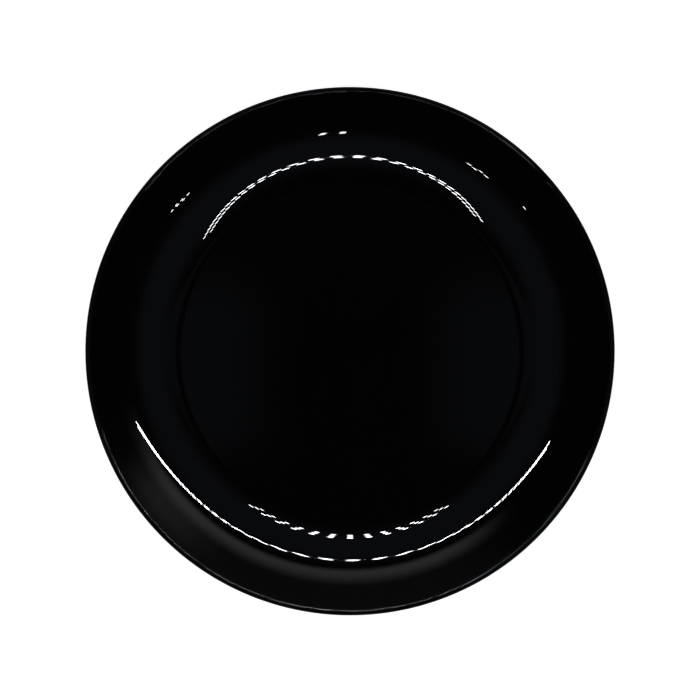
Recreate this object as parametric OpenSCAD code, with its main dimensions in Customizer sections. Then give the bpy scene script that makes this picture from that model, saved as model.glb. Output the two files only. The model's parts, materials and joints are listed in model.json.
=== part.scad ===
// Round coupe serving tray, moulded in gloss black melamine.
// One moulded body carries a pressed glaze on its upper face and six grip pads under its foot ring.
// Z is up, the tray is centred on the Z axis and its pads stand on z = 0.

/* [Tray] */
// Overall diameter over the lip
tray_d = 305; // [240:1:380]
// Overall height from the table to the top of the lip
tray_h = 27; // [22:0.5:36]
// Width of the sloping border, from the flat well to the lip's edge
rim_w = 55; // [44:1:70]

/* [Wall] */
// Thickness of the moulding, glaze included
wall = 3.2; // [2.6:0.1:4.4]
// Thickness of the pressed glaze on the upper face
glaze_t = 0.4; // [0.2:0.05:0.6]

/* [Lip] */
// Width of the level land on top of the lip
lip_land = 1.2; // [0.4:0.1:2]
// Radius of the shoulder between the border and the land
shoulder_r = 1.9; // [1.2:0.1:3]
// Radius of the lip's upper outer corner
edge_r = 0.8; // [0.7:0.05:1.1]
// Radius of the lip's lower outer corner
under_r = 0.6; // [0.3:0.1:0.8]

/* [Foot ring] */
// Distance from the edge of the flat well in to the middle of the foot ring
foot_inset = 10; // [8:0.5:20]
// Width of the foot ring
foot_w = 6; // [4:0.5:9]
// Height of the foot ring below the base
foot_h = 3; // [2.5:0.1:6]
// Radius of the foot ring's lower corners
foot_edge_r = 1; // [0.4:0.1:1.5]
// Fillet between the foot ring and the base
foot_fillet = 1; // [0.3:0.1:1.5]
// Width of each drain notch across the foot ring
notch_w = 10; // [5:1:20]
// Depth of each drain notch
notch_depth = 1.4; // [0.6:0.1:2]

/* [Grip pads] */
// Diameter of a pad
pad_d = 12.6; // [8:0.2:15]
// How far a pad stands below the foot ring
pad_proud = 1.2; // [0.5:0.1:2]
// Gap between a pad and its pocket, all round
pad_clear = 0.2; // [0.1:0.05:0.5]
// Radius of the pad's lower corner
pad_edge_r = 0.8; // [0.3:0.1:1]
// Depth of the pocket that holds a pad
pocket_depth = 1.5; // [1:0.1:2.2]
// Thickness of the boss wall round a pocket
boss_wall = 2.5; // [1.5:0.1:4]
// Thickness of the adhesive disc between pad and pocket
adhesive_t = 0.2; // [0.1:0.05:0.4]
// How far the adhesive disc stops short of the pad's edge
adhesive_inset = 0.5; // [0.2:0.1:2]

/* [Maker's medallion, left blank] */
// Diameter of the shallow blank recess under the centre
medallion_d = 44; // [20:1:80]
// Depth of the recess
medallion_depth = 0.3; // [0.1:0.1:0.8]

/* [Hidden] */
$fn = 180;
// Steps in a long arc of the section, and in a small corner or fillet
ARC_STEPS = 16;
CORNER_STEPS = 5;
// How far a cutting shape runs past the face that it opens
CUT = 1;
// Pads round the foot ring, one for each foot_pad node below
pad_count = 6;

tray_r = tray_d / 2;
well_r = tray_r - rim_w;
foot_z = pad_proud;
base_z = foot_z + foot_h;
floor_z = base_z + wall;
foot_r = well_r - foot_inset;
pocket_d = pad_d + 2 * pad_clear;
pocket_z = foot_z + pocket_depth;
boss_d = pocket_d + 2 * boss_wall;
pad_top = pocket_z - adhesive_t;
adhesive_d = pad_d - 2 * adhesive_inset;
pad_step = 360 / pad_count;

// Centres of the section's arcs, as [radius from the axis, height].
// The border is one hollow arc. It leaves the well level and meets the shoulder arc smoothly,
// and its run and rise between those two set its radius.
edge_c = [tray_r - edge_r, tray_h - edge_r];
shoulder_c = [edge_c[0] - lip_land, tray_h - shoulder_r];
run = shoulder_c[0] - well_r;
rise = shoulder_c[1] - floor_z;
border_r = (run * run + rise * rise - shoulder_r * shoulder_r) / (2 * (rise + shoulder_r));
border_c = [well_r, floor_z + border_r];
under_x = tray_r - under_r;
under_reach = border_r + wall - under_r;
under_c = [under_x,
           border_c[1] - sqrt(pow(under_reach, 2) - pow(under_x - border_c[0], 2))];

// Slope of the section, in degrees from level, where one arc hands over to the next.
border_end = slope(border_c, shoulder_c);
under_end = slope(border_c, under_c);

// Slope at which a point lies below the centre of a hollow arc.
function slope(centre, point) = atan2(point[0] - centre[0], centre[1] - point[1]);

// Points along an arc from one angle to another, both ends included.
function arc(centre, r, from, to, steps = ARC_STEPS) =
    [for (i = [0:steps]) let (a = from + (to - from) * i / steps)
        centre + r * [cos(a), sin(a)]];

// The same for a small corner or fillet, in fewer steps.
function corner(centre, r, from, to) = arc(centre, r, from, to, CORNER_STEPS);

// The upper face from the axis out to the lip's outermost line, at a depth below the surface.
function face_line(depth) = concat(
    [[0, floor_z - depth]],
    arc(border_c, border_r + depth, -90, border_end - 90),
    corner(shoulder_c, shoulder_r - depth, border_end + 90, 90),
    corner(edge_c, edge_r - depth, 90, 0));

// The underside from the lip back to the axis.
function under_line() = concat(
    corner(under_c, under_r, 0, under_end - 90),
    arc(border_c, border_r + wall, under_end - 90, -90),
    [[0, base_z]]);

function reversed(list) = [for (i = [len(list) - 1:-1:0]) list[i]];

module round_the_ring(first = 0) {
    for (i = [0:pad_count - 1])
        rotate([0, 0, first + i * pad_step])
            translate([foot_r, 0, 0]) children();
}

// Half section of the foot ring, with rounded feet and filleted roots.
module foot_section() {
    inner = foot_r - foot_w / 2;
    outer = foot_r + foot_w / 2;
    polygon(concat(
        corner([inner + foot_edge_r, foot_z + foot_edge_r], foot_edge_r, 180, 270),
        corner([outer - foot_edge_r, foot_z + foot_edge_r], foot_edge_r, 270, 360),
        corner([outer + foot_fillet, base_z - foot_fillet], foot_fillet, 180, 90),
        [[outer + foot_fillet, base_z + wall / 2], [inner - foot_fillet, base_z + wall / 2]],
        corner([inner - foot_fillet, base_z - foot_fillet], foot_fillet, 90, 0)));
}

module shell() {
    rotate_extrude()
        polygon(concat(face_line(glaze_t), under_line()));
}

module pad_bosses() {
    round_the_ring()
        translate([0, 0, foot_z]) cylinder(d = boss_d, h = foot_h + wall / 2);
}

module pad_pockets() {
    round_the_ring()
        translate([0, 0, foot_z - CUT]) cylinder(d = pocket_d, h = pocket_depth + CUT);
}

module drain_notches() {
    round_the_ring(first = pad_step / 2)
        translate([-foot_w, -notch_w / 2, foot_z - CUT])
            cube([2 * foot_w, notch_w, notch_depth + CUT]);
}

module medallion() {
    translate([0, 0, base_z - CUT]) cylinder(d = medallion_d, h = medallion_depth + CUT);
}

module dish_body() {
    color("#17181a")
    difference() {
        union() {
            shell();
            rotate_extrude() foot_section();
            pad_bosses();
        }
        pad_pockets();
        drain_notches();
        medallion();
    }
}

module glaze_layer() {
    color("#050506")
    rotate_extrude()
        polygon(concat(face_line(0), reversed(face_line(glaze_t))));
}

module foot_pad(number) {
    color("#222324")
    rotate([0, 0, (number - 1) * pad_step])
        translate([foot_r, 0, 0])
            rotate_extrude()
                polygon(concat(
                    [[0, 0]],
                    corner([pad_d / 2 - pad_edge_r, pad_edge_r], pad_edge_r, -90, 0),
                    [[pad_d / 2, pad_top], [0, pad_top]]));
}

module adhesive_discs() {
    color("#b9b7ae")
    round_the_ring()
        translate([0, 0, pad_top]) cylinder(d = adhesive_d, h = adhesive_t);
}

dish_body();
glaze_layer();
foot_pad(1);  // foot_pad_1
foot_pad(2);  // foot_pad_2
foot_pad(3);  // foot_pad_3
foot_pad(4);  // foot_pad_4
foot_pad(5);  // foot_pad_5
foot_pad(6);  // foot_pad_6
adhesive_discs();
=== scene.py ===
import json
import math

import bmesh
import bpy
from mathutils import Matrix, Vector


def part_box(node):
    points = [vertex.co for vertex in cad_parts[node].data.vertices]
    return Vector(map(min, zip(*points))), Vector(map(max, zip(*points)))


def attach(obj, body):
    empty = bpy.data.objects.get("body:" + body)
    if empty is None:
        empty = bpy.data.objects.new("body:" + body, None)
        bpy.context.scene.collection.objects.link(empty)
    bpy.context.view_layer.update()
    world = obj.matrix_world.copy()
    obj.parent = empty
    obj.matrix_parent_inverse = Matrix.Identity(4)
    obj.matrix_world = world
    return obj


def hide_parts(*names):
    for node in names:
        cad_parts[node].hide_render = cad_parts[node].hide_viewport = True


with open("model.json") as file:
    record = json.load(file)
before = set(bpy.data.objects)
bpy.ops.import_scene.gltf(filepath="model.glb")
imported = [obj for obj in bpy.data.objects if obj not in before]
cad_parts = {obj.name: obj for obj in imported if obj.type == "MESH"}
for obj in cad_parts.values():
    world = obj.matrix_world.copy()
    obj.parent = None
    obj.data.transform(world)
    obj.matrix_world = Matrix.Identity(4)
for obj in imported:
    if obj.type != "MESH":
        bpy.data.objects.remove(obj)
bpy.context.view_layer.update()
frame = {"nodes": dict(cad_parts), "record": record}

mm = 0.001
scene = bpy.context.scene


# places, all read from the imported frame
mounts = {m["name"]: m for m in frame["record"]["mounts"]}
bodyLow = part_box("dish_body")[0]
glazeLow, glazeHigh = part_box("glaze_layer")
padLow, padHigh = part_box("foot_pad_1")

place = {
    "rimRadius": glazeHigh.x,
    "rimHeight": glazeHigh.z,
    "floorHeight": mounts["well_floor"]["pos_m"][2],
    "footRadius": mounts["foot_rest"]["pos_m"][0],
    "footHeight": bodyLow.z,
    "padRadius": (padHigh.x - padLow.x) / 2,
    "padTop": padHigh.z,
    "padBottom": padLow.z,
}
print("frame read, tray is %.1f mm across" % (2 * place["rimRadius"] / mm))


def hexColour(code):
    # sRGB hex to the linear values that shaders want
    parts = [int(code[i:i + 2], 16) / 255 for i in (1, 3, 5)]
    return [c / 12.92 if c <= 0.04045 else ((c + 0.055) / 1.055) ** 2.4 for c in parts] + [1.0]


def addNode(tree, kind, settings=None, links=None):
    # settings go on sockets or on the node itself, links are socket name -> output socket
    node = tree.nodes.new(kind)
    for name, value in (settings or {}).items():
        if isinstance(name, int) or name in node.inputs:
            node.inputs[name].default_value = value
        else:
            setattr(node, name, value)
    for name, output in (links or {}).items():
        tree.links.new(output, node.inputs[name])
    return node


def newMaterial(name):
    material = bpy.data.materials.new(name)
    material.use_nodes = True
    material.node_tree.nodes.clear()
    return material, material.node_tree


def finishMaterial(tree, shader):
    addNode(tree, "ShaderNodeOutputMaterial", {}, {"Surface": shader.outputs[0]})


def arcPoints(centre, radius, fromAngle, toAngle, steps):
    # angles in degrees, 0 points outwards and 90 points up
    points = []
    for i in range(steps + 1):
        a = math.radians(fromAngle + (toAngle - fromAngle) * i / steps)
        points.append((centre[0] + radius * math.cos(a), centre[1] + radius * math.sin(a)))
    return points


def slopeUnder(centre, point):
    # slope in degrees where a point lies below the centre of a hollow arc
    return math.degrees(math.atan2(point[0] - centre[0], centre[1] - point[1]))


def lathe(name, outline, turns, centre=(0.0, 0.0)):
    # spins a closed half section round the vertical line through centre
    points = [outline[0]]
    for point in outline[1:]:
        if math.dist(point, points[-1]) > 1e-7:
            points.append(point)
    verts, faces, rings = [], [], []
    for r, z in points:
        if r < 1e-7:
            rings.append([len(verts)])
            verts.append((centre[0], centre[1], z))
            continue
        rings.append(list(range(len(verts), len(verts) + turns)))
        for k in range(turns):
            a = 2 * math.pi * k / turns
            verts.append((centre[0] + r * math.cos(a), centre[1] + r * math.sin(a), z))
    pairs = list(zip(rings, rings[1:] + rings[:1]))
    for lower, upper in pairs:
        if len(lower) == 1 and len(upper) == 1:
            continue
        for k in range(turns):
            n = (k + 1) % turns
            if len(lower) == 1:
                faces.append((lower[0], upper[k], upper[n]))
            elif len(upper) == 1:
                faces.append((lower[k], upper[0], lower[n]))
            else:
                faces.append((lower[k], upper[k], upper[n], lower[n]))
    mesh = bpy.data.meshes.new(name)
    mesh.from_pydata(verts, [], faces)
    bm = bmesh.new()
    bm.from_mesh(mesh)
    bmesh.ops.recalc_face_normals(bm, faces=bm.faces)
    bm.to_mesh(mesh)
    bm.free()
    piece = bpy.data.objects.new(name, mesh)
    scene.collection.objects.link(piece)
    return piece


def boxMesh(name, low, high, spin=0.0):
    # a box between two corners, turned about the vertical axis
    bm = bmesh.new()
    bmesh.ops.create_cube(bm, size=1.0)
    for v in bm.verts:
        corner = [a + (b - a) * (share + 0.5) for a, b, share in zip(low, high, v.co)]
        x, y, v.co.z = corner
        v.co.x = x * math.cos(spin) - y * math.sin(spin)
        v.co.y = x * math.sin(spin) + y * math.cos(spin)
    mesh = bpy.data.meshes.new(name)
    bm.to_mesh(mesh)
    bm.free()
    piece = bpy.data.objects.new(name, mesh)
    scene.collection.objects.link(piece)
    return piece


def carve(piece, operation, tools):
    # boolean with each tool in turn, then the tools are thrown away
    for tool in tools:
        modifier = piece.modifiers.new("carve", "BOOLEAN")
        modifier.operation = operation
        modifier.solver = "EXACT"
        modifier.object = tool
    graph = bpy.context.evaluated_depsgraph_get()
    done = bpy.data.meshes.new_from_object(piece.evaluated_get(graph))
    piece.modifiers.clear()
    old = piece.data
    piece.data = done
    bpy.data.meshes.remove(old)
    for tool in tools:
        bpy.data.objects.remove(tool)


def smoothBelow(piece, angle):
    # smooth shading, with a crease wherever two faces meet at more than this angle
    for face in piece.data.polygons:
        face.use_smooth = True
    piece.data.set_sharp_from_angle(angle=math.radians(angle))


def dress(piece, material, replaced):
    piece.data.materials.clear()
    piece.data.materials.append(material)
    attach(piece, "root")
    if replaced:
        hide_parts(*replaced)


glazeFinish = {
    "colour": "#050506",
    "smudge": "#070708",
    "ior": 1.6,              # cured melamine resin
    "roughness": 0.008,
    "smudgeRoughness": 0.014,
    "smudgeSize": 38 * mm,   # wiped patches
    "ripple": 14 * mm,       # press marks of the mould's polish
    "rippleHeight": 0.0002 * mm,
    "hairline": 0.9 * mm,    # wiping lines, really under 0.1 mm apart, drawn wider so that they show
    "wornFrom": 3.9 * mm,    # stacking dulls the lip, from here to wornTo in from its edge
    "wornTo": 2.9 * mm,
    "wornRoughness": 0.03,
}


def glazedMelamine():
    # black melamine, pressed glaze: a deep wet black that mirrors like glass,
    # with the faintest ripple and a few wiped patches that only the highlights show
    finish = glazeFinish
    material, tree = newMaterial("blackMelaminePressedGlaze")
    coords = addNode(tree, "ShaderNodeTexCoord")
    patches = addNode(tree, "ShaderNodeTexNoise",
                      {"Scale": 1 / finish["smudgeSize"], "Detail": 3.0, "Roughness": 0.6},
                      {"Vector": coords.outputs["Object"]})
    radius = addNode(tree, "ShaderNodeVectorMath", {"operation": "LENGTH"},
                     {0: coords.outputs["Object"]})
    wiped = addNode(tree, "ShaderNodeTexNoise",
                    {"noise_dimensions": "1D", "Scale": 1.0, "Detail": 2.0})
    rings = addNode(tree, "ShaderNodeMath", {"operation": "MULTIPLY", 1: 1 / finish["hairline"]},
                    {0: radius.outputs["Value"]})
    tree.links.new(rings.outputs[0], wiped.inputs["W"])
    marks = addNode(tree, "ShaderNodeMath", {"operation": "MULTIPLY"},
                    {0: patches.outputs["Fac"], 1: wiped.outputs["Fac"]})
    colour = addNode(tree, "ShaderNodeMix",
                     {"data_type": "RGBA", 6: hexColour(finish["colour"]),
                      7: hexColour(finish["smudge"])}, {0: patches.outputs["Fac"]})
    rough = addNode(tree, "ShaderNodeMapRange",
                    {"From Min": 0.12, "From Max": 0.42, "To Min": finish["roughness"],
                     "To Max": finish["smudgeRoughness"]}, {"Value": marks.outputs[0]})
    plan = addNode(tree, "ShaderNodeVectorMath", {"operation": "MULTIPLY", 1: (1, 1, 0)},
                   {0: coords.outputs["Object"]})
    fromAxis = addNode(tree, "ShaderNodeVectorMath", {"operation": "LENGTH"},
                       {0: plan.outputs["Vector"]})
    worn = addNode(tree, "ShaderNodeMapRange",
                   {"From Min": place["rimRadius"] - finish["wornFrom"],
                    "From Max": place["rimRadius"] - finish["wornTo"]},
                   {"Value": fromAxis.outputs["Value"]})
    dulled = addNode(tree, "ShaderNodeMix", {"data_type": "FLOAT", 3: finish["wornRoughness"]},
                     {0: worn.outputs["Result"], 2: rough.outputs["Result"]})
    ripple = addNode(tree, "ShaderNodeTexNoise",
                     {"Scale": 1 / finish["ripple"], "Detail": 1.0, "Roughness": 0.4},
                     {"Vector": coords.outputs["Object"]})
    bump = addNode(tree, "ShaderNodeBump",
                   {"Strength": 1.0, "Distance": finish["rippleHeight"]},
                   {"Height": ripple.outputs["Fac"]})
    shader = addNode(tree, "ShaderNodeBsdfPrincipled", {"IOR": finish["ior"]},
                     {"Base Color": colour.outputs[2], "Roughness": dulled.outputs[0],
                      "Normal": bump.outputs["Normal"]})
    finishMaterial(tree, shader)
    return material


bodyFinish = {
    "colour": "#0d0d0f",
    "flowColour": "#141416",
    "ior": 1.6,
    "roughness": 0.34,
    "roughnessHigh": 0.5,
    "grain": 0.35 * mm,      # etched mould surface, really 0.1 mm, coarsened so that it shows
    "grainHeight": 0.012 * mm,
    "flow": 26 * mm,         # clouds left where the powder flowed
}


def mouldedMelamine():
    # black melamine, compression moulded: satin and slightly grainy, with soft flow clouds
    finish = bodyFinish
    material, tree = newMaterial("blackMelamineMouldedSatin")
    coords = addNode(tree, "ShaderNodeTexCoord")
    flow = addNode(tree, "ShaderNodeTexNoise",
                   {"Scale": 1 / finish["flow"], "Detail": 5.0, "Roughness": 0.55, "Distortion": 0.6},
                   {"Vector": coords.outputs["Object"]})
    colour = addNode(tree, "ShaderNodeMix",
                     {"data_type": "RGBA", 6: hexColour(finish["colour"]),
                      7: hexColour(finish["flowColour"])}, {0: flow.outputs["Fac"]})
    grain = addNode(tree, "ShaderNodeTexNoise",
                    {"Scale": 1 / finish["grain"], "Detail": 2.0, "Roughness": 0.5},
                    {"Vector": coords.outputs["Object"]})
    rough = addNode(tree, "ShaderNodeMapRange",
                    {"From Min": 0.3, "From Max": 0.7, "To Min": finish["roughness"],
                     "To Max": finish["roughnessHigh"]}, {"Value": flow.outputs["Fac"]})
    bump = addNode(tree, "ShaderNodeBump",
                   {"Strength": 0.6, "Distance": finish["grainHeight"]},
                   {"Height": grain.outputs["Fac"]})
    shader = addNode(tree, "ShaderNodeBsdfPrincipled", {"IOR": finish["ior"]},
                     {"Base Color": colour.outputs[2], "Roughness": rough.outputs["Result"],
                      "Normal": bump.outputs["Normal"]})
    finishMaterial(tree, shader)
    return material


padFinish = {
    "colour": "#161718",
    "dust": "#2b2b2a",
    "ior": 1.41,
    "roughness": 0.72,
    "skin": 0.5 * mm,        # moulded skin, drawn coarser than its real 0.2 mm
    "skinHeight": 0.03 * mm,
}


def mouldedSilicone():
    # black silicone rubber, moulded: matt and dry, with a little grey lint in its skin
    finish = padFinish
    material, tree = newMaterial("blackSiliconeMoulded")
    coords = addNode(tree, "ShaderNodeTexCoord")
    skin = addNode(tree, "ShaderNodeTexNoise",
                   {"Scale": 1 / finish["skin"], "Detail": 4.0, "Roughness": 0.65},
                   {"Vector": coords.outputs["Object"]})
    lint = addNode(tree, "ShaderNodeMapRange",
                   {"From Min": 0.56, "From Max": 0.72, "To Min": 0.0, "To Max": 0.7},
                   {"Value": skin.outputs["Fac"]})
    colour = addNode(tree, "ShaderNodeMix",
                     {"data_type": "RGBA", 6: hexColour(finish["colour"]),
                      7: hexColour(finish["dust"])}, {0: lint.outputs["Result"]})
    bump = addNode(tree, "ShaderNodeBump",
                   {"Strength": 0.5, "Distance": finish["skinHeight"]},
                   {"Height": skin.outputs["Fac"]})
    shader = addNode(tree, "ShaderNodeBsdfPrincipled",
                     {"IOR": finish["ior"], "Roughness": finish["roughness"],
                      "Sheen Weight": 0.15, "Sheen Roughness": 0.5},
                     {"Base Color": colour.outputs[2], "Normal": bump.outputs["Normal"]})
    finishMaterial(tree, shader)
    return material


adhesiveFinish = {
    "colour": "#b7b5ab",
    "bubble": "#8e8c83",
    "ior": 1.47,
    "roughness": 0.28,
    "bubbleSize": 1.6 * mm,
    "bubbleHeight": 0.02 * mm,
}


def acrylicAdhesive():
    # clear-grey acrylic adhesive, rolled on: soft gloss with small trapped bubbles
    finish = adhesiveFinish
    material, tree = newMaterial("greyAcrylicAdhesiveRolled")
    coords = addNode(tree, "ShaderNodeTexCoord")
    bubbles = addNode(tree, "ShaderNodeTexVoronoi", {"Scale": 1 / finish["bubbleSize"]},
                      {"Vector": coords.outputs["Object"]})
    colour = addNode(tree, "ShaderNodeMix",
                     {"data_type": "RGBA", 6: hexColour(finish["bubble"]),
                      7: hexColour(finish["colour"])}, {0: bubbles.outputs["Distance"]})
    bump = addNode(tree, "ShaderNodeBump", {"Strength": 0.4, "Distance": finish["bubbleHeight"]},
                   {"Height": bubbles.outputs["Distance"]})
    shader = addNode(tree, "ShaderNodeBsdfPrincipled",
                     {"IOR": finish["ior"], "Roughness": finish["roughness"]},
                     {"Base Color": colour.outputs[2], "Normal": bump.outputs["Normal"]})
    finishMaterial(tree, shader)
    return material


# the moulded dish and its glaze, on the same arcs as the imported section
dish = {
    "rimWidth": 55 * mm,       # flat well's edge to the lip's edge
    "wall": 3.2 * mm,
    "lipLand": 1.2 * mm,
    "shoulderRadius": 1.9 * mm,
    "edgeRadius": 0.8 * mm,
    "underRadius": 0.6 * mm,
    "partingRadius": 0.1 * mm,  # both lips of the parting line are rolled by this
    "footWidth": 6 * mm,
    "footEdge": 1 * mm,
    "footFillet": 1 * mm,
    "notchWidth": 10 * mm,
    "notchDepth": 1.4 * mm,
    "pocketDepth": 1.5 * mm,
    "pocketGap": 0.2 * mm,
    "bossWall": 2.5 * mm,
    "bossProud": 0.01 * mm,     # keeps the bosses' soles off the foot ring's own face
    "bossEdge": 0.6 * mm,
    "bossSink": 0.8 * mm,       # how far a boss runs up into the base
    "pocketLeadIn": 0.4 * mm,
    "cutPast": 2 * mm,          # how far a cutter runs past the face that it opens
    "medallionRadius": 22 * mm,
    "medallionDepth": 0.3 * mm,
    "medallionEdge": 0.6 * mm,
    "wellRings": (0, 0.2, 0.45, 0.7, 0.86, 0.94, 0.975, 0.99),  # shares of the flat well's radius
    "borderSteps": 96,
    "cornerSteps": 10,
    "footSteps": 6,
    "bossSteps": 5,
    "rollSteps": 4,
    "medallionSteps": 8,
    "turns": 384,
    "bossTurns": 72,
    "glazeCrease": 50,          # degrees, see smoothBelow
    "bodyCrease": 32,
}
padCount = sum(1 for name in frame["nodes"] if name.startswith("foot_pad_"))

wellRadius = place["rimRadius"] - dish["rimWidth"]
glazeDepth = place["floorHeight"] - glazeLow.z
baseHeight = place["floorHeight"] - dish["wall"]
edgeCentre = (place["rimRadius"] - dish["edgeRadius"], place["rimHeight"] - dish["edgeRadius"])
shoulderCentre = (edgeCentre[0] - dish["lipLand"], place["rimHeight"] - dish["shoulderRadius"])
run = shoulderCentre[0] - wellRadius
rise = shoulderCentre[1] - place["floorHeight"]
borderRadius = ((run ** 2 + rise ** 2 - dish["shoulderRadius"] ** 2)
                / (2 * (rise + dish["shoulderRadius"])))
borderCentre = (wellRadius, place["floorHeight"] + borderRadius)
underX = place["rimRadius"] - dish["underRadius"]
underReach = borderRadius + dish["wall"] - dish["underRadius"]
underCentre = (underX, borderCentre[1] - math.sqrt(underReach ** 2 - (underX - wellRadius) ** 2))
borderEnd = slopeUnder(borderCentre, shoulderCentre)
underEnd = slopeUnder(borderCentre, underCentre)


def upperFace(depth):
    # centre to the lip's outermost line, at a depth below the shown surface;
    # rings lie closer towards the flat well's edge, so that the mirror stays flat
    steps, corner = dish["borderSteps"], dish["cornerSteps"]
    return ([(wellRadius * share, place["floorHeight"] - depth) for share in dish["wellRings"]]
            + arcPoints(borderCentre, borderRadius + depth, -90, borderEnd - 90, steps)
            + arcPoints(shoulderCentre, dish["shoulderRadius"] - depth, borderEnd + 90, 90, corner)
            + arcPoints(edgeCentre, dish["edgeRadius"] - depth, 90, 0, corner))


def makeGlaze():
    roll = dish["partingRadius"]
    rim, parting = place["rimRadius"], edgeCentre[1]
    tip = arcPoints((rim - roll, parting), roll, 0, -90, dish["rollSteps"])
    piece = lathe("trayGlaze", upperFace(0) + tip + upperFace(glazeDepth)[::-1], dish["turns"])
    smoothBelow(piece, dish["glazeCrease"])
    dress(piece, glazedMelamine(), ["glaze_layer"])
    return piece


def footRingOutline():
    # base from the foot ring's outer root round its foot to its inner root
    inner = place["footRadius"] - dish["footWidth"] / 2
    outer = place["footRadius"] + dish["footWidth"] / 2
    fillet, edge, steps = dish["footFillet"], dish["footEdge"], dish["footSteps"]
    foot = place["footHeight"]
    return (arcPoints((outer + fillet, baseHeight - fillet), fillet, 90, 180, steps)
            + arcPoints((outer - edge, foot + edge), edge, 0, -90, steps)
            + arcPoints((inner + edge, foot + edge), edge, -90, -180, steps)
            + arcPoints((inner - fillet, baseHeight - fillet), fillet, 0, 90, steps))


def medallionOutline():
    # shallow blank recess with a soft edge, from its rim in to the axis
    edge, depth, r = dish["medallionEdge"], dish["medallionDepth"], dish["medallionRadius"]
    steps = dish["medallionSteps"]
    points = []
    for i in range(steps + 1):
        t = i / steps
        points.append((r - edge * t, baseHeight + depth * (0.5 - 0.5 * math.cos(math.pi * t))))
    return points + [(r * 0.5, baseHeight + depth), (0, baseHeight + depth)]


def bossOutline():
    # round boss with a filleted root, sunk into the base
    sole = place["footHeight"] - dish["bossProud"]
    r = place["padRadius"] + dish["pocketGap"] + dish["bossWall"]
    edge, fillet, sunk = dish["bossEdge"], dish["footFillet"], baseHeight + dish["bossSink"]
    return ([(0, sole)]
            + arcPoints((r - edge, sole + edge), edge, -90, 0, dish["bossSteps"])
            + arcPoints((r + fillet, baseHeight - fillet), fillet, 180, 92, dish["footSteps"])
            + [(r + fillet, sunk), (0, sunk)])


def pocketOutline():
    # round cutter with a short lead-in at its mouth
    sole = place["footHeight"] - dish["bossProud"]
    r, lead = place["padRadius"] + dish["pocketGap"], dish["pocketLeadIn"]
    below, roof = sole - dish["cutPast"], place["footHeight"] + dish["pocketDepth"]
    return [(0, below), (r + lead, below), (r + lead, sole), (r, sole + lead), (r, roof), (0, roof)]


def makeNotch(angle):
    # cutter for one drain notch across the foot ring
    foot, reach, half = place["footHeight"], dish["footWidth"], dish["notchWidth"] / 2
    return boxMesh("notch", (place["footRadius"] - reach, -half, foot - dish["cutPast"]),
                   (place["footRadius"] + reach, half, foot + dish["notchDepth"]), angle)


def makeBody():
    roll = dish["partingRadius"]
    rim, parting = place["rimRadius"], edgeCentre[1]
    outline = (upperFace(glazeDepth)
               + arcPoints((rim - roll, parting - 2 * roll), roll, 90, 0,
                           dish["rollSteps"])
               + arcPoints(underCentre, dish["underRadius"], 0, underEnd - 90, dish["cornerSteps"])
               + arcPoints(borderCentre, borderRadius + dish["wall"], underEnd - 90, -90,
                           dish["borderSteps"])
               + footRingOutline() + medallionOutline())
    piece = lathe("trayBody", outline, dish["turns"])
    bosses, pockets, notches = [], [], []
    for i in range(padCount):
        angle = 2 * math.pi * i / padCount
        centre = (place["footRadius"] * math.cos(angle), place["footRadius"] * math.sin(angle))
        bosses.append(lathe("boss", bossOutline(), dish["bossTurns"], centre))
        pockets.append(lathe("pocket", pocketOutline(), dish["bossTurns"], centre))
        notches.append(makeNotch(angle + math.pi / padCount))
    carve(piece, "UNION", bosses)
    carve(piece, "DIFFERENCE", pockets + notches)
    smoothBelow(piece, dish["bodyCrease"])
    dress(piece, mouldedMelamine(), ["dish_body"])
    return piece


glazePiece = makeGlaze()
print("glaze made, %d faces" % len(glazePiece.data.polygons))
bodyPiece = makeBody()
print("body made, %d faces" % len(bodyPiece.data.polygons))


pad = {
    "cornerRadius": 0.8 * mm,
    "grooveRadii": (1.6 * mm, 3.1 * mm, 4.6 * mm),
    "grooveWidth": 0.5 * mm,
    "grooveDepth": 0.3 * mm,
    "topRadius": 0.2 * mm,
    "cornerSteps": 8,
    "grooveSteps": 8,
    "topSteps": 3,
    "turns": 96,
    "crease": 40,               # degrees, see smoothBelow
}


def padOutline():
    # flat sole with moulded grip rings, rounded corner, straight side
    bottom, top, r = place["padBottom"], place["padTop"], place["padRadius"]
    steps = pad["grooveSteps"]
    points = [(0, bottom)]
    for radius in pad["grooveRadii"]:
        for i in range(steps + 1):
            t = i / steps
            x = radius + pad["grooveWidth"] * (t - 0.5)
            points.append((x, bottom + pad["grooveDepth"] * math.sin(math.pi * t) ** 2))
    corner, upper = pad["cornerRadius"], pad["topRadius"]
    points += arcPoints((r - corner, bottom + corner), corner, -90, 0, pad["cornerSteps"])
    points += arcPoints((r - upper, top - upper), upper, 0, 90, pad["topSteps"])
    return points + [(0, top)]


def makePads():
    silicone = mouldedSilicone()
    for i in range(padCount):
        low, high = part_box("foot_pad_%d" % (i + 1))
        centre = ((low.x + high.x) / 2, (low.y + high.y) / 2)
        piece = lathe("gripPad%d" % (i + 1), padOutline(), pad["turns"], centre)
        smoothBelow(piece, pad["crease"])
        dress(piece, silicone, ["foot_pad_%d" % (i + 1)])


def dressAdhesive():
    discs = frame["nodes"]["adhesive_discs"]
    discs.data.materials.clear()
    discs.data.materials.append(acrylicAdhesive())


makePads()
dressAdhesive()
print("pads and adhesive made")


studio = {
    "floorSize": 12.0,             # metres
    "floorColour": "#f4f4f3",
    "floorGlow": 0.9,
    "floorGap": 0.05 * mm,         # keeps the paper clear of the pads' faces
    "paperTooth": 900.0,           # noise scale, bumps about 1.1 mm apart, coarser than real paper's
    "background": "#fafafa",
    "lampHeight": 242.5 * mm,      # above the well's floor
    "lampColour": "#fbfdff",
}

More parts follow.
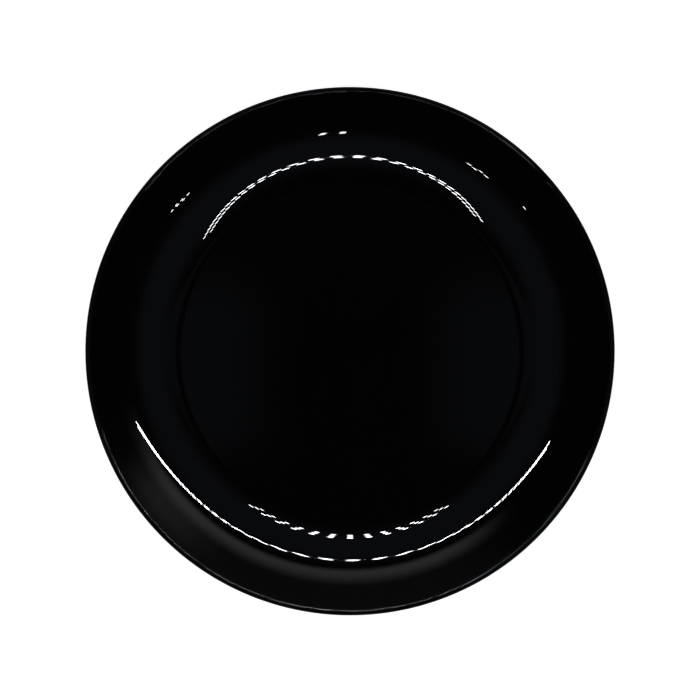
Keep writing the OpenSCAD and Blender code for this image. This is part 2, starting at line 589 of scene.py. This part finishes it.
# Two bars of small lamps hang over the tray, one behind its middle and one in front. The border mirrors
# each twice, once on its own side and once across. The back one is set twice, nearBar and farBar, because
# its two images need slightly different curves. A bar bows back by up to "rise", half of it at "reach".
# A lamp leans away from the tray's axis, or across it where "lean" is negative, and its grid keeps its
# light within "spread" degrees of that, so none shines down into the flat well.
nearBar = {"y": 43.0 * mm, "turn": 0.06, "rise": 24 * mm, "reach": 40 * mm, "rowGap": 4.2 * mm,
           "pitch": 3.05 * mm, "dot": 1.6 * mm}
farBar = {"y": 38.5 * mm, "turn": 0.02, "rise": 15 * mm, "reach": 40 * mm, "rowGap": 2.4 * mm,
          "pitch": 2.7 * mm, "dot": 1.3 * mm}
frontBar = {"y": -46.5 * mm, "turn": -0.025, "rise": 0, "reach": 40 * mm, "rowGap": 4.2 * mm,
            "pitch": 6.0 * mm, "dot": 2.0 * mm}
lampGroups = [
    {"bar": nearBar, "rows": 2, "from": -50 * mm, "to": 42 * mm, "first": 0.4, "lean": 15, "spread": 15,
     "glow": 60},
    {"bar": farBar, "rows": 2, "from": -61 * mm, "to": 96 * mm, "first": -0.1, "lean": -41, "spread": 16,
     "glow": 140},
    {"bar": frontBar, "rows": 3, "from": -38 * mm, "to": 38 * mm, "first": 0, "lean": 20, "spread": 15,
     "glow": 80},
    {"bar": frontBar, "rows": 2, "from": 0 * mm, "to": 9 * mm, "first": 0.35, "lean": -38, "spread": 16,
     "glow": 40},
    {"bar": frontBar, "rows": 2, "from": -50 * mm, "to": -39 * mm, "first": 0, "lean": -38, "spread": 16,
     "glow": 40},
    {"bar": frontBar, "rows": 1, "from": -80 * mm, "to": -77 * mm, "first": 0, "lean": -42, "spread": 16,
     "glow": 40},
    {"bar": frontBar, "rows": 2, "from": 71 * mm, "to": 88 * mm, "first": 0, "lean": -42, "spread": 16,
     "glow": 40},
]

# the room that the mirror sees: each glow's strength, where it starts and where it ends,
# in degrees from straight overhead and round the compass, where 0 is straight behind the tray
room = {
    "ring": {"colour": "#c9d2e6", "glow": 0.07, "start": (4, 17), "end": (28, 41)},
    "wall": {"colour": "#eceef2", "glow": 0.42, "start": (39.5, 45), "end": (44, 57), "left": 0.1,
             "from": (-45, -20), "to": (40, 75)},
    "side": {"colour": "#eceef2", "glow": 0.17, "start": (42, 50), "end": (62, 82), "left": 0.1,
             "from": (28, 50), "to": (48, 63)},
    "haze": {"colour": "#c9d6e6", "glow": 0.05, "across": (1, 3), "from": (0.5, 2), "to": (4, 6)},
    "horizon": {"colour": "#eceef2", "glow": 0.5, "start": (81, 88)},
}


def makeFloor():
    material, tree = newMaterial("palePaperSweep")
    coords = addNode(tree, "ShaderNodeTexCoord")
    tooth = addNode(tree, "ShaderNodeTexNoise", {"Scale": studio["paperTooth"], "Detail": 2.0},
                    {"Vector": coords.outputs["Object"]})
    bump = addNode(tree, "ShaderNodeBump", {"Strength": 0.2, "Distance": 0.05 * mm},
                   {"Height": tooth.outputs["Fac"]})
    paper = addNode(tree, "ShaderNodeBsdfPrincipled",
                    {"Base Color": hexColour(studio["floorColour"]), "Roughness": 0.9,
                     "Emission Color": hexColour(studio["floorColour"]),
                     "Emission Strength": studio["floorGlow"]},
                    {"Normal": bump.outputs["Normal"]})
    finishMaterial(tree, paper)
    half = studio["floorSize"] / 2
    z = place["padBottom"] - studio["floorGap"]
    mesh = bpy.data.meshes.new("studioFloor")
    mesh.from_pydata([(-half, -half, z), (half, -half, z), (half, half, z), (-half, half, z)],
                     [], [(0, 1, 2, 3)])
    mesh.materials.append(material)
    paperSweep = bpy.data.objects.new("studioFloor", mesh)
    scene.collection.objects.link(paperSweep)


def makeLamps(group):
    # small disc lamps with grids, seen in gloss and nowhere else
    bar = group["bar"]
    radius = bar["dot"] / 2
    spread = math.radians(group["spread"])
    lean = math.radians(group["lean"])
    lamp = bpy.data.lights.new("barLamp", "AREA")
    lamp.shape = "DISK"
    lamp.size = bar["dot"]
    lamp.spread = 2 * spread
    lamp.color = hexColour(studio["lampColour"])[:3]
    # a grid's brightness grows as it narrows, and this power gives the glow asked for on its axis
    lamp.energy = 4 * math.pi * radius ** 2 * group["glow"] * (1 - spread / math.tan(spread))
    z = place["floorHeight"] + studio["lampHeight"]
    first = math.ceil(group["from"] / bar["pitch"] - group["first"])
    last = math.floor(group["to"] / bar["pitch"] - group["first"])
    for k in range(first, last + 1):
        x = (k + group["first"]) * bar["pitch"]
        middle = bar["y"] + bar["turn"] * x + bar["rise"] * x * x / (x * x + bar["reach"] ** 2)
        for row in range(group["rows"]):
            y = middle + (row - (group["rows"] - 1) / 2) * bar["rowGap"]
            light = bpy.data.objects.new("barLamp", lamp)
            light.location = (x, y, z)
            aim = Vector((x, y, 0)).normalized() * math.sin(lean) + Vector((0, 0, -math.cos(lean)))
            light.rotation_euler = aim.to_track_quat("-Z", "Y").to_euler()
            light.visible_camera = False
            light.visible_diffuse = False
            light.visible_transmission = False
            scene.collection.objects.link(light)


def makeWorld():
    # dark overhead with a dim ring of light round it and a paler wall behind the tray;
    # the camera itself sees a plain pale backdrop
    world = bpy.data.worlds.new("studioWorld")
    scene.world = world
    world.use_nodes = True
    tree = world.node_tree
    tree.nodes.clear()
    coords = addNode(tree, "ShaderNodeTexCoord")
    split = addNode(tree, "ShaderNodeSeparateXYZ", {}, {"Vector": coords.outputs["Generated"]})
    fromTop = addNode(tree, "ShaderNodeMath", {"operation": "ARCCOSINE"}, {0: split.outputs["Z"]})
    compass = addNode(tree, "ShaderNodeMath", {"operation": "ARCTAN2"},
                      {0: split.outputs["X"], 1: split.outputs["Y"]})

    def step(source, angles, low=0.0, high=1.0):
        ease = addNode(tree, "ShaderNodeMapRange",
                       {"interpolation_type": "SMOOTHSTEP", "From Min": math.radians(angles[0]),
                        "From Max": math.radians(angles[1]), "To Min": low, "To Max": high},
                       {"Value": source.outputs[0]})
        return ease.outputs["Result"]

    def times(*values):
        total = values[0]
        for value in values[1:]:
            total = addNode(tree, "ShaderNodeMath", {"operation": "MULTIPLY"},
                            {0: total, 1: value}).outputs[0]
        return total

    def glow(colour, strength):
        return addNode(tree, "ShaderNodeBackground", {"Color": hexColour(colour)},
                       {"Strength": strength}).outputs[0]

    def band(name):
        part = room[name]
        left = part.get("left", 0)
        return times(step(fromTop, part["start"], 0, part["glow"]), step(fromTop, part["end"], 1, left))

    def arcBand(name):
        part = room[name]
        return times(band(name), step(compass, part["from"]), step(compass, part["to"], 1, 0))

    across = addNode(tree, "ShaderNodeMath", {"operation": "ABSOLUTE"}, {0: split.outputs["X"]})
    along = addNode(tree, "ShaderNodeMath", {"operation": "ARCSINE"}, {0: split.outputs["Y"]})
    haze, horizon = room["haze"], room["horizon"]
    glows = [
        glow(room["ring"]["colour"], band("ring")),
        glow(room["wall"]["colour"], arcBand("wall")),
        glow(room["side"]["colour"], arcBand("side")),
        glow(haze["colour"], times(step(across, haze["across"], 0, haze["glow"]),
                                   step(along, haze["from"]), step(along, haze["to"], 1, 0),
                                   step(fromTop, room["ring"]["start"], 1, 0))),
        glow(horizon["colour"], step(fromTop, horizon["start"], 0, horizon["glow"])),
    ]
    mirrored = glows[0]
    for part in glows[1:]:
        mirrored = addNode(tree, "ShaderNodeAddShader", {}, {0: mirrored, 1: part}).outputs[0]
    backdrop = addNode(tree, "ShaderNodeBackground",
                       {"Color": hexColour(studio["background"]), "Strength": 1.0})
    path = addNode(tree, "ShaderNodeLightPath")
    both = addNode(tree, "ShaderNodeMixShader", {},
                   {0: path.outputs["Is Camera Ray"], 1: mirrored, 2: backdrop.outputs[0]})
    addNode(tree, "ShaderNodeOutputWorld", {}, {"Surface": both.outputs[0]})


softboxes = [
    {"name": "keySoftbox", "at": (-0.8, -0.9, 1.6), "size": 1.2, "power": 12},  # metres and watts
    {"name": "fillSoftbox", "at": (1.0, 0.6, 1.5), "size": 1.4, "power": 9},
]


def makeSoftbox(softbox):
    # lights the paper and the matt parts, kept out of the mirror
    lamp = bpy.data.lights.new(softbox["name"], "AREA")
    lamp.shape = "DISK"
    lamp.size = softbox["size"]
    lamp.energy = softbox["power"]
    box = bpy.data.objects.new(softbox["name"], lamp)
    box.location = softbox["at"]
    box.rotation_euler = (-Vector(softbox["at"])).to_track_quat("-Z", "Y").to_euler()
    box.visible_glossy = False
    scene.collection.objects.link(box)


# straight over the tray and a little to the front
view = {
    "distance": 1.5,          # metres
    "tilt": 3.5,              # degrees from straight down
    "framed": 0.7543,         # share of the picture's width that the tray spans
    "aimHeight": 0.8,         # share of the tray's height
    "sensor": 36.0,
}


def makeCamera():
    data = bpy.data.cameras.new("studioCamera")
    camera = bpy.data.objects.new("studioCamera", data)
    scene.collection.objects.link(camera)
    tilt = math.radians(view["tilt"])
    aim = Vector((0, 0, place["rimHeight"] * view["aimHeight"]))
    back = Vector((0, -math.sin(tilt), math.cos(tilt)))
    camera.location = aim + back * view["distance"]
    camera.rotation_mode = "QUATERNION"
    camera.rotation_quaternion = (-back).to_track_quat("-Z", "Y")
    data.sensor_width = view["sensor"]
    width = 2 * place["rimRadius"] / view["framed"]
    data.lens = view["sensor"] * view["distance"] / width
    scene.camera = camera


makeCamera()
makeFloor()
makeWorld()
for group in lampGroups:
    makeLamps(group)
for softbox in softboxes:
    makeSoftbox(softbox)
scene.view_settings.view_transform = "Standard"
print("studio made")
